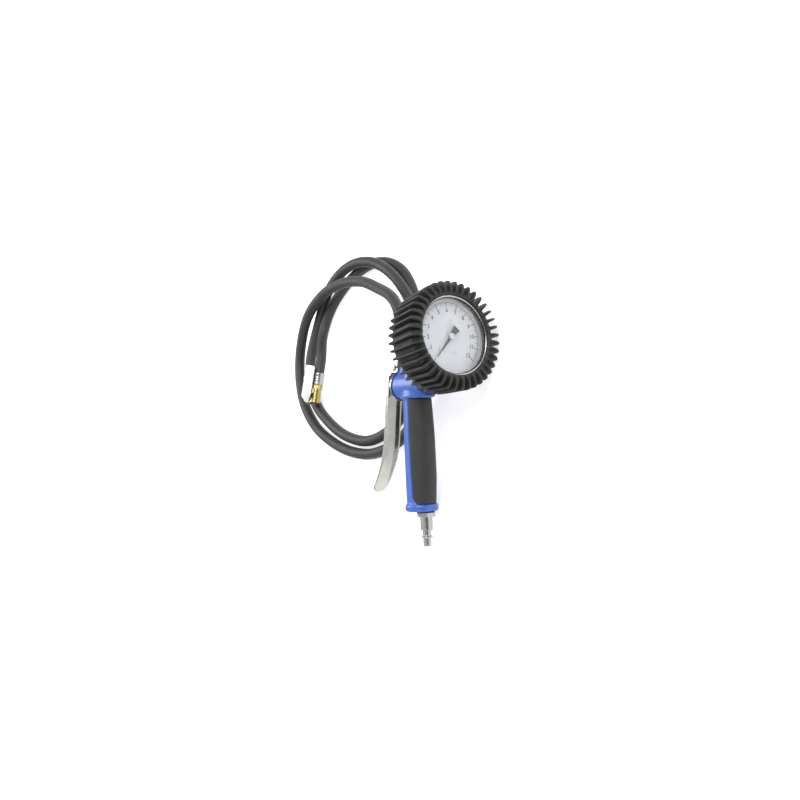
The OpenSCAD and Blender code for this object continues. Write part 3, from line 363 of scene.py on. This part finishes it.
def fill_edges(tree: Tree, source: Node, sink: Node) -> None:
    """Mask of the worn edges: where a rounded normal leaves the true one, broken up by noise.

    Args:
        tree: The group.
        source: Its input node.
        sink: Its output node.
    """
    bevel = tree.nodes.new("ShaderNodeBevel")
    bevel.samples = 4
    tree.links.new(source.outputs["Radius"], bevel.inputs["Radius"])
    flat = tree.nodes.new("ShaderNodeNewGeometry")
    dot = tree.nodes.new("ShaderNodeVectorMath")
    dot.operation = "DOT_PRODUCT"
    tree.links.new(bevel.outputs["Normal"], dot.inputs[0])
    tree.links.new(flat.outputs["Normal"], dot.inputs[1])
    ramp = tree.nodes.new("ShaderNodeMapRange")
    ramp.inputs["From Min"].default_value = 0.995
    ramp.inputs["From Max"].default_value = 0.88
    tree.links.new(dot.outputs["Value"], ramp.inputs["Value"])
    place, noise = tree.nodes.new("ShaderNodeTexCoord"), tree.nodes.new("ShaderNodeTexNoise")
    noise.inputs["Scale"].default_value = WEAR_BREAKS
    tree.links.new(place.outputs["Object"], noise.inputs["Vector"])
    broken = tree.nodes.new("ShaderNodeMapRange")
    broken.inputs["From Min"].default_value = 0.4
    broken.inputs["From Max"].default_value = 0.6
    tree.links.new(noise.outputs["Fac"], broken.inputs["Value"])
    mask = tree.nodes.new("ShaderNodeMath")
    mask.operation = "MULTIPLY"
    tree.links.new(ramp.outputs["Result"], mask.inputs[0])
    tree.links.new(broken.outputs["Result"], mask.inputs[1])
    tree.links.new(mask.outputs[0], sink.inputs["Mask"])


def add_group(tree: Tree, name: str) -> Node:
    """Puts one of the shared effects into a material.

    Args:
        tree: The material's nodes.
        name: Name of the effect.

    Returns:
        The group's node in the material.
    """
    recipes = {
        "fine_grain": ((("Scale", 1500.0), ("Strength", 0.2)), (("Normal", "NodeSocketVector"),), fill_grain),
        "mottle": ((("Amount", 0.2),),
                   (("Tone", "NodeSocketFloat"), ("Smudge", "NodeSocketFloat")), fill_mottle),
        "worn_edges": ((("Radius", 0.0006),), (("Mask", "NodeSocketFloat"),), fill_edges),
    }
    node = tree.nodes.new("ShaderNodeGroup")
    node.node_tree = node_group(name, *recipes[name])
    return node


# ------------------------------------------------------------------ finishes
@dataclass(frozen=True)
class Finish:
    """One surface finish, named as its material slot.

    Attributes:
        name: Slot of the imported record.
        colour: Base colour, linear.
        roughness: Mean roughness.
        metallic: 1 for bare metal.
        shade: Colour of the darker patches.
        mottle: Strength of the slow variation.
        gloss_change: How far handling marks change the roughness.
        grain: Strength of the fine bump.
        grain_scale: Fineness of the bump.
        worn: Colour along worn edges.
        wear: Amount of that wear.
        coat: Clear coat weight.
        clear: Transmission weight.
    """

    name: str
    colour: Colour
    roughness: float
    metallic: float = 0.0
    shade: Colour = (0.0, 0.0, 0.0)
    mottle: float = 0.25
    gloss_change: float = 0.1
    grain: float = 0.15
    grain_scale: float = 1500.0
    worn: Colour = (0.5, 0.5, 0.5)
    wear: float = 0.3
    coat: float = 0.0
    clear: float = 0.0

    def material(self) -> bpy.types.Material:
        """Builds the finish's procedural material.

        Returns:
            The material.
        """
        mat = bpy.data.materials.new(self.name)
        mat.use_nodes = True
        tree = mat.node_tree
        shader = tree.nodes["Principled BSDF"]
        shader.inputs["Metallic"].default_value = self.metallic
        shader.inputs["Coat Weight"].default_value = self.coat
        shader.inputs["Coat Roughness"].default_value = 0.15
        shader.inputs["Transmission Weight"].default_value = self.clear
        shader.inputs["IOR"].default_value = 1.45
        grain, mottle = add_group(tree, "fine_grain"), add_group(tree, "mottle")
        grain.inputs["Scale"].default_value = self.grain_scale
        grain.inputs["Strength"].default_value = self.grain
        mottle.inputs["Amount"].default_value = self.mottle
        tree.links.new(grain.outputs["Normal"], shader.inputs["Normal"])
        tone = self._mix(tree, mottle.outputs["Tone"], self.colour, self.shade)
        if self.wear > 0.0:
            edges = add_group(tree, "worn_edges")
            scaled = tree.nodes.new("ShaderNodeMath")
            scaled.operation = "MULTIPLY"
            scaled.inputs[1].default_value = self.wear
            tree.links.new(edges.outputs["Mask"], scaled.inputs[0])
            tone = self._mix(tree, scaled.outputs[0], tone, self.worn)
        tree.links.new(tone, shader.inputs["Base Color"])
        rough = tree.nodes.new("ShaderNodeMath")
        rough.operation, rough.use_clamp = "MULTIPLY_ADD", True
        rough.inputs[1].default_value = self.gloss_change / max(self.mottle, 0.01)
        rough.inputs[2].default_value = self.roughness
        tree.links.new(mottle.outputs["Smudge"], rough.inputs[0])
        tree.links.new(rough.outputs[0], shader.inputs["Roughness"])
        return mat

    @staticmethod
    def _mix(tree: Tree, factor: Socket, first: Colour | Socket, second: Colour | Socket) -> Socket:
        """Mixes two colours, each a tuple or a socket.

        Args:
            tree: The material's nodes.
            factor: Share of the second colour.
            first: First colour.
            second: Second colour.

        Returns:
            The mixed colour.
        """
        mix = tree.nodes.new("ShaderNodeMix")
        mix.data_type = "RGBA"
        tree.links.new(factor, mix.inputs[0])
        for socket, value in ((mix.inputs[6], first), (mix.inputs[7], second)):
            if isinstance(value, tuple):
                socket.default_value = (*value, 1.0)
            else:
                tree.links.new(value, socket)
        return mix.outputs[2]


FINISHES = (
    Finish("blue_paint", (0.038, 0.105, 0.43), 0.34, shade=(0.028, 0.08, 0.34), mottle=0.5, grain=0.12,
           grain_scale=900.0, worn=(0.12, 0.24, 0.72), wear=0.5, coat=0.25),
    Finish("grip_rubber", (0.022, 0.022, 0.021), 0.55, shade=(0.013, 0.013, 0.013), mottle=0.6, grain=0.4,
           grain_scale=1700.0, worn=(0.07, 0.07, 0.068), wear=0.4),
    Finish("boot_rubber", (0.015, 0.0155, 0.0145), 0.5, shade=(0.008, 0.0085, 0.008), mottle=0.7, grain=0.35,
           grain_scale=1500.0, worn=(0.07, 0.07, 0.07), wear=0.35),
    Finish("hose_rubber", (0.028, 0.028, 0.027), 0.5, shade=(0.018, 0.018, 0.018), mottle=0.6, grain=0.45,
           grain_scale=1300.0, worn=(0.05, 0.05, 0.05), wear=0.0),
    Finish("seal_rubber", (0.02, 0.02, 0.02), 0.6, shade=(0.03, 0.03, 0.03), grain=0.3, wear=0.0),
    Finish("nickel", (0.40, 0.40, 0.39), 0.32, 1.0, (0.33, 0.33, 0.32), 0.3, 0.08, 0.05, 1800.0,
           (0.72, 0.73, 0.72), 0.25),
    Finish("chrome_plate", (0.46, 0.46, 0.42), 0.18, 1.0, (0.32, 0.32, 0.29), 0.5, 0.1, 0.05, 1300.0,
           (0.62, 0.62, 0.6), 0.4),
    Finish("steel", (0.55, 0.55, 0.55), 0.3, 1.0, (0.42, 0.42, 0.42), 0.5, 0.14, 0.1, 1600.0,
           (0.8, 0.8, 0.8), 0.3),
    Finish("brass", (0.42, 0.36, 0.13), 0.28, 1.0, (0.26, 0.22, 0.08), 0.6, 0.16, 0.08, 1500.0,
           (0.95, 0.8, 0.42), 0.4),
    Finish("case_paint", (0.03, 0.03, 0.03), 0.4, shade=(0.02, 0.02, 0.02), grain=0.2, wear=0.2),
    Finish("window", (1.0, 1.0, 1.0), 0.01, shade=(0.97, 0.98, 1.0), mottle=0.2, gloss_change=0.02,
           grain=0.004, grain_scale=300.0, wear=0.0, clear=1.0),
    Finish("dial_white", (0.86, 0.90, 0.95), 0.5, shade=(0.80, 0.85, 0.92), mottle=0.3, grain=0.06, wear=0.0),
    Finish("pointer_black", (0.015, 0.015, 0.016), 0.45, shade=(0.03, 0.03, 0.03), grain=0.1,
           worn=(0.1, 0.1, 0.1), wear=0.2),
    Finish("hub_silver", (0.42, 0.42, 0.42), 0.3, 1.0, (0.55, 0.55, 0.57), 0.4, 0.1, 0.1, 1500.0,
           (0.9, 0.9, 0.9), 0.3),
)


# ------------------------------------------------------------------ workshop
# metres within which points are joined, and angles between faces in degrees
WELD = 5e-6
FLAT_DEGREES = 0.6
SHARP_DEGREES = 32
CREASE_DEGREES = 50


class Workshop:
    """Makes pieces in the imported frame, gives them their finish and ties them to their bodies."""

    def __init__(self, frame: dict) -> None:
        """Builds every finish and notes each node's slot and body.

        Args:
            frame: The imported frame.
        """
        self.frame = frame
        self.finish = {f.name: f.material() for f in FINISHES}
        self.slots = {p["node"]: p["material_slot"] for p in frame["record"]["subparts"]}
        bodies = frame["record"]["behaviour"]["bodies"]
        self.bodies = {node: name for name, nodes in bodies.items() for node in nodes}

    def adopt(self, name: str, data: bpy.types.ID, nodes: Sequence[str], slot: str = "") -> bpy.types.Object:
        """Links a piece, gives it the finish and body of the first node it stands for.

        Args:
            name: Name of the piece.
            data: Its mesh or curve.
            nodes: CAD nodes that it replaces; the first one gives its body and slot.
            slot: Another slot, for a piece that adds to the first node instead.

        Returns:
            The piece.
        """
        obj = bpy.data.objects.new(name, data)
        bpy.context.scene.collection.objects.link(obj)
        key = slot or self.slots[nodes[0]]
        data.materials.clear()
        data.materials.append(self.finish[key])
        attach(obj, self.bodies[nodes[0]])
        LOG.info("%s: body %s, finish %s", name, self.bodies[nodes[0]], key)
        if not slot:
            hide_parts(*nodes)
        return obj

    def mesh(self, name: str, verts: np.ndarray, faces: np.ndarray, sharp: float = 40.0) -> bpy.types.Mesh:
        """A smooth mesh from points in millimetres and equal-sided faces.

        Args:
            name: Name of the mesh.
            verts: Its points.
            faces: Corner numbers, as many for each face.
            sharp: Angle between faces, in degrees, past which an edge stays sharp.

        Returns:
            The mesh.
        """
        mesh = bpy.data.meshes.new(name)
        mesh.from_pydata((np.asarray(verts) * MM).tolist(), [], np.asarray(faces).tolist())
        mesh.polygons.foreach_set("use_smooth", [True] * len(mesh.polygons))
        mesh.set_sharp_from_angle(angle=math.radians(sharp))
        mesh.update()
        return mesh

    def rounded(self, node: str, name: str, width: float, segments: int = 2) -> bpy.types.Object:
        """A copy of a machined or stamped node with its sharp edges rounded.

        Args:
            node: CAD node.
            name: Name of the piece.
            width: Width of the rounding, in millimetres.
            segments: Faces across it.

        Returns:
            The piece.
        """
        mesh = self.frame["nodes"][node].data.copy()
        mesh.name = name
        bm = bmesh.new()
        bm.from_mesh(mesh)
        bmesh.ops.remove_doubles(bm, verts=bm.verts, dist=WELD)
        bmesh.ops.dissolve_limit(bm, angle_limit=math.radians(FLAT_DEGREES), verts=bm.verts, edges=bm.edges)
        limit = math.radians(SHARP_DEGREES)
        sharp = [e for e in bm.edges if len(e.link_faces) == 2 and e.calc_face_angle(0.0) > limit]
        bmesh.ops.bevel(bm, geom=sharp, offset=width * MM, offset_type="OFFSET", segments=segments,
                        profile=0.6, affect="EDGES", clamp_overlap=True)
        bmesh.ops.triangulate(bm, faces=[f for f in bm.faces if len(f.verts) > 4])
        bm.to_mesh(mesh)
        bm.free()
        mesh.polygons.foreach_set("use_smooth", [True] * len(mesh.polygons))
        mesh.set_sharp_from_angle(angle=math.radians(CREASE_DEGREES))
        obj = self.adopt(name, mesh, [node])
        weighted = obj.modifiers.new("weighted", "WEIGHTED_NORMAL")
        weighted.keep_sharp = True
        return obj

    def softened(self, node: str, name: str, voxel: float, passes: int) -> bpy.types.Object:
        """A cast or moulded copy of a node: remeshed and smoothed, so no facet is left.

        Args:
            node: CAD node.
            name: Name of the piece.
            voxel: Voxel size in millimetres.
            passes: Smoothing passes.

        Returns:
            The piece.
        """
        work = bpy.data.objects.new("work", self.frame["nodes"][node].data.copy())
        bpy.context.scene.collection.objects.link(work)
        remesh = work.modifiers.new("remesh", "REMESH")
        remesh.mode, remesh.voxel_size, remesh.use_smooth_shade = "VOXEL", voxel * MM, True
        smooth = work.modifiers.new("smooth", "SMOOTH")
        smooth.iterations, smooth.factor = passes, 0.5
        graph = bpy.context.evaluated_depsgraph_get()
        mesh = bpy.data.meshes.new_from_object(work.evaluated_get(graph))
        bpy.data.objects.remove(work)
        mesh.name = name
        mesh.polygons.foreach_set("use_smooth", [True] * len(mesh.polygons))
        return self.adopt(name, mesh, [node])

    def turned(self, node: str, name: str, profile: Sequence[tuple[float, float]], origin: np.ndarray,
               axis: np.ndarray, sides: int = 64) -> bpy.types.Object:
        """A turned piece: each profile point (along, radius) goes round the axis as a ring.

        Args:
            node: CAD node.
            name: Name of the piece.
            profile: Closed profile, in millimetres.
            origin: Where the axis starts, in the row frame.
            axis: Its direction.
            sides: Faces round the axis.

        Returns:
            The piece.
        """
        axis = axis / np.linalg.norm(axis)
        side = np.cross(axis, [0.0, 0.0, 1.0] if abs(axis[2]) < 0.9 else [0.0, 1.0, 0.0])
        side /= np.linalg.norm(side)
        other = np.cross(axis, side)
        ring = np.asarray(profile, float)
        turn = np.linspace(0, 2 * np.pi, sides, endpoint=False)[:, None, None]
        spoke = np.cos(turn) * side + np.sin(turn) * other
        verts = origin + ring[None, :, :1] * axis + ring[None, :, 1:] * spoke
        return self.adopt(name, self.mesh(name, verts.reshape(-1, 3), grid_faces(sides, len(ring))), [node])


def grid_faces(rows: int, cols: int) -> np.ndarray:
    """Quads of a grid of points that closes on itself both ways.

    Args:
        rows: Rows of points.
        cols: Points in a row.

    Returns:
        Array (rows * cols, 4) of corner numbers.
    """
    i, j = np.meshgrid(np.arange(rows), np.arange(cols), indexing="ij")
    k, m = (i + 1) % rows, (j + 1) % cols
    return np.stack([i * cols + j, i * cols + m, k * cols + m, k * cols + j], -1).reshape(-1, 4)


# ------------------------------------------------------------------ boot
@dataclass(frozen=True)
class Boot:
    """Ribbed rubber boot: tapered, rounded fins grown from one skin."""

    ribs: int = 40
    skin: tuple = (
        (29.8, 40.2), (29.8, 34.0), (27.3, 34.0), (27.3, 40.0), (27.4, 43.0), (28.2, 44.4), (30.0, 45.1),
        (45.0, 46.0), (58.0, 46.9), (61.5, 46.7), (64.0, 45.6), (66.0, 43.7), (67.3, 41.9), (68.1, 40.5),
        (68.5, 39.2), (68.3, 38.3), (67.8, 38.0), (66.2, 38.0), (66.2, 40.2))
    crest: tuple = (
        (29.8, 40.2), (29.8, 34.0), (27.3, 34.0), (27.3, 40.0), (28.0, 44.6), (28.3, 48.6), (29.6, 49.9),
        (45.0, 51.2), (60.5, 52.3), (64.6, 52.6), (67.4, 52.0), (69.2, 50.0), (70.4, 46.6), (70.6, 43.4),
        (69.9, 41.4), (68.6, 39.4), (67.8, 38.0), (66.2, 38.0), (66.2, 40.2))
    # across one rib's pitch: place, and how far the surface rises there from skin to crest
    across: tuple = (
        (-0.50, 0.0), (-0.36, 0.0), (-0.27, 0.03), (-0.225, 0.16), (-0.185, 0.5), (-0.155, 0.8),
        (-0.125, 0.94), (-0.08, 0.995), (0.0, 1.0), (0.08, 0.995), (0.125, 0.94), (0.155, 0.8),
        (0.185, 0.5), (0.225, 0.16), (0.27, 0.03), (0.36, 0.0))

    def build(self, shop: Workshop) -> bpy.types.Object:
        """Makes the boot's mesh and its piece.

        Args:
            shop: Makes and dresses the piece.

        Returns:
            The piece.
        """
        skin, crest = (self._refine(np.array(p)) for p in (self.skin, self.crest))
        place, rise = np.array(self.across).T
        angle = ((np.arange(self.ribs)[:, None] + place[None]) * 2 * np.pi / self.ribs).ravel()
        rise = np.tile(rise, self.ribs)[:, None, None]
        ring = skin[None] * (1 - rise) + crest[None] * rise
        c, s = np.cos(angle)[:, None], np.sin(angle)[:, None]
        points = gauge_point(np.stack([ring[..., 1] * c, ring[..., 1] * s, ring[..., 0]], -1))
        mesh = shop.mesh("ribbed_boot", points.reshape(-1, 3), grid_faces(len(angle), len(skin)), 75.0)
        return shop.adopt("ribbed_boot", mesh, ["gauge_boot"])

    @staticmethod
    def _refine(points: np.ndarray) -> np.ndarray:
        """Adds rounded points between the outer ones and keeps the inner corners."""
        outer = catmull_rom(points[4:16], 3)
        return np.vstack([points[:4], outer, points[16:]])


# ------------------------------------------------------------------ dial
@dataclass(frozen=True)
class Dial:
    """Printed dial card: a scale with fine ticks and plain numbers."""

    face: float = 57.8
    sweep: float = 270.0
    top: int = 12
    tick_r: float = 33.2
    # of whole numbers, halves and tenths
    tick_lengths: tuple = (4.6, 3.4, 2.2)
    tick_halves: tuple = (0.3, 0.2, 0.12)
    arc_width: float = 0.3
    mark_lift: float = 0.04
    number_lift: float = 0.05
    number_inset: float = 7.6
    number_size: float = 5.4
    number_offset: float = 0.1

    def angle(self, value: np.ndarray) -> np.ndarray:
        """Angle of a reading, in radians, counted from the gauge's x axis."""
        return np.radians(225.0 - np.asarray(value, float) * self.sweep / self.top)

    def ticks(self) -> tuple[np.ndarray, np.ndarray]:
        """Quads of every tick: long at whole numbers, middling at halves, short at tenths.

        Returns:
            Points (n, 2), and quads.
        """
        tenth = np.arange(self.top * 10 + 1)
        rank = np.where(tenth % 10 == 0, 0, np.where(tenth % 5 == 0, 1, 2))
        length, half = np.array(self.tick_lengths)[rank], np.array(self.tick_halves)[rank]
        a = self.angle(tenth / 10)
        out = np.stack([np.cos(a), np.sin(a)], -1)
        side = np.stack([-out[:, 1], out[:, 0]], -1)
        corners = [out * (self.tick_r - length * inner)[:, None] + side * (half * way)[:, None]
                   for inner, way in ((0, 1), (0, -1), (1, -1), (1, 1))]
        verts = np.stack(corners, 1).reshape(-1, 2)
        return verts, np.arange(len(verts)).reshape(-1, 4)

    def arc(self) -> tuple[np.ndarray, np.ndarray]:
        """The thin line that joins the ticks.

        Returns:
            Points (n, 2), and quads.
        """
        a = self.angle(np.linspace(0, self.top, 181))
        out = np.stack([np.cos(a), np.sin(a)], -1)
        verts = np.concatenate([out * self.tick_r, out * (self.tick_r + self.arc_width)])
        n = len(a)
        i = np.arange(n - 1)
        return verts, np.stack([i, i + 1, i + 1 + n, i + n], -1)

    def build(self, shop: Workshop) -> None:
        """Makes the printed marks, a hair over the card.

        Args:
            shop: Makes and dresses the pieces.
        """
        for name, (verts, faces) in (("dial_ticks", self.ticks()), ("dial_arc", self.arc())):
            points = gauge_point(np.column_stack([verts, np.full(len(verts), self.face + self.mark_lift)]))
            shop.adopt(name, shop.mesh(name, points, faces), ["dial_face"], "pointer_black")
        for value in range(1, self.top + 1):
            self._number(shop, value)

    def _number(self, shop: Workshop, value: int) -> None:
        """One plain number of the scale.

        Args:
            shop: Makes and dresses the piece.
            value: The number.
        """
        curve = bpy.data.curves.new("number", "FONT")
        curve.body, curve.size, curve.offset = str(value), self.number_size, self.number_offset
        curve.align_x, curve.align_y = "CENTER", "CENTER"
        curve.resolution_u = 4
        work = bpy.data.objects.new("work", curve)
        bpy.context.scene.collection.objects.link(work)
        mesh = bpy.data.meshes.new_from_object(work.evaluated_get(bpy.context.evaluated_depsgraph_get()))
        bpy.data.objects.remove(work)
        co = np.empty(len(mesh.vertices) * 3)
        mesh.vertices.foreach_get("co", co)
        flat = co.reshape(-1, 3)[:, :2]
        a = float(self.angle(np.array(value)))
        flat = flat + np.array([math.cos(a), math.sin(a)]) * (self.tick_r - self.number_inset)
        points = gauge_point(np.column_stack([flat, np.full(len(flat), self.face + self.number_lift)])) * MM
        mesh.vertices.foreach_set("co", points.ravel())
        mesh.name = f"number_{value}"
        shop.adopt(mesh.name, mesh, ["dial_face"], "pointer_black")


# ------------------------------------------------------------------ hose and its ferrules
@dataclass(frozen=True)
class Hose:
    """The air hose with its two crimped ferrules."""

    radius: float = 6.0

    def build(self, shop: Workshop) -> bpy.types.Object:
        """Makes the hose as one swept curve along the hand-chosen route.

        Args:
            shop: Makes and dresses the piece.

        Returns:
            The piece.
        """
        line = hose_line() * MM
        curve = bpy.data.curves.new("air_hose", "CURVE")
        curve.dimensions = "3D"
        spline = curve.splines.new("POLY")
        spline.points.add(len(line) - 1)
        spline.points.foreach_set("co", np.hstack([line, np.ones((len(line), 1))]).ravel())
        spline.use_smooth = True
        curve.bevel_depth = self.radius * MM
        curve.bevel_resolution = 6
        curve.use_fill_caps = True
        LOG.info("hose length %.3f m", float(np.linalg.norm(np.diff(line, axis=0), axis=1).sum()))
        return shop.adopt("air_hose", curve, ["hose_lead", "hose_coil"])

    def ferrules(self, shop: Workshop) -> bpy.types.Object:
        """Makes both crimped ferrules and returns the chuck's.

        Args:
            shop: Makes and dresses the pieces.

        Returns:
            The chuck's ferrule.
        """
        rad = math.radians(OUTLET_ANGLE)
        way = turn_down([0.0, math.cos(rad), math.sin(rad)])
        start = lay_down(OUTLET) + FERRULE_START * way
        shop.turned("outlet_ferrule", "outlet_crimp", self.crimp(), start, way)
        end = np.array(HOSE_END) - SHIFT - np.array([FERRULE_FLOOR, 0, 0])
        return shop.turned("hose_end_ferrule", "chuck_crimp", self.crimp(), end, np.array([1.0, 0, 0]))

    @staticmethod
    def crimp() -> list[tuple[float, float]]:
        """Profile of a ferrule, from its closed end to its mouth over the hose.

        Returns:
            Points (along, radius), in millimetres.
        """
        outer = [(0.0, 5.2), (0.15, 6.4), (0.6, 6.9), (1.2, 7.0)]
        for middle in (4.2, 7.0, 9.8):
            outer += [(middle - 1.1, 7.0), (middle - 0.7, 6.72), (middle, 6.6), (middle + 0.7, 6.72),
                      (middle + 1.1, 7.0)]
        outer += [(13.4, 7.0), (14.1, 6.9), (14.5, 6.6), (14.5, 6.15), (2.6, 6.12), (2.5, 3.2), (0.0, 3.2)]
        return outer


def make_bezel(shop: Workshop) -> bpy.types.Object:
    """The rolled bezel: a skirt over the case, a rounded nose and a stepped inner wall.

    Args:
        shop: Makes and dresses the piece.

    Returns:
        The piece.
    """
    profile = [(56.0, 39.0), (56.0, 39.8), (56.3, 40.0), (65.0, 40.0), (65.6, 39.85), (65.95, 39.4),
               (66.0, 38.9), (65.95, 37.6), (65.75, 37.1), (65.4, 36.9), (65.1, 36.9), (65.05, 39.0)]
    origin = gauge_point(np.zeros(3))
    axis = gauge_point(np.array([0.0, 0.0, 1.0])) - origin
    return shop.turned("bezel_ring", "rolled_bezel", profile, origin, axis, 144)


# ------------------------------------------------------------------ everything
# CAD node: name of its rounded piece, and the rounding in millimetres
ROUNDED = {
    "lever": ("chrome_lever", 0.35), "chuck_clip_lever": ("clip_plate", 0.22),
    "chuck_body": ("brass_chuck", 0.25), "inlet_plug": ("quick_plug", 0.3),
    "outlet_fitting": ("hose_outlet", 0.3),
    "valve_cap": ("valve_cap_nut", 0.3), "lever_pin": ("trigger_pin", 0.2), "plug_washer": ("washer", 0.15),
    "gauge_socket": ("gauge_stem", 0.3), "dial_screws": ("dial_screw_heads", 0.15),
    "pointer_hub": ("hub_disc", 0.15), "lens": ("window_glass", 0.3), "valve_stem": ("stem", 0.15),
    "chuck_nipple": ("nipple", 0.12), "chuck_clip_pin": ("clip_axle", 0.15),
    "lever_pin_clip": ("snap_ring", 0.08),
    "movement_plates": ("plates", 0.12), "chuck_poppet": ("poppet_pin", 0.1),
    "gauge_case": ("case_shell", 0.3),
    "pointer": ("needle", 0.08), "dial_face": ("dial_card", 0.08),
}


def main() -> None:
    """Builds the whole scene."""
    logging.basicConfig(level=logging.INFO)
    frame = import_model()
    make_camera()
    shop = Workshop(frame)
    hose = Hose()
    line = hose.build(shop)
    crimp = hose.ferrules(shop)
    pieces = {node: shop.rounded(node, name, width) for node, (name, width) in ROUNDED.items()}
    tuple(hose_line()[0] * MM)
    shop.softened("handle_body", "cast_handle", 0.9, 5)
    shop.softened("grip_pad", "soft_pad", 0.7, 6)
    make_bezel(shop)
    Boot().build(shop)
    Dial().build(shop)
    for node, slot in shop.slots.items():
        data = frame["nodes"][node].data
        data.materials.clear()
        data.materials.append(shop.finish[slot])
    make_light()
    make_floor()
    bpy.context.scene.view_settings.view_transform = "Standard"


if __name__ == "__main__":
    main()
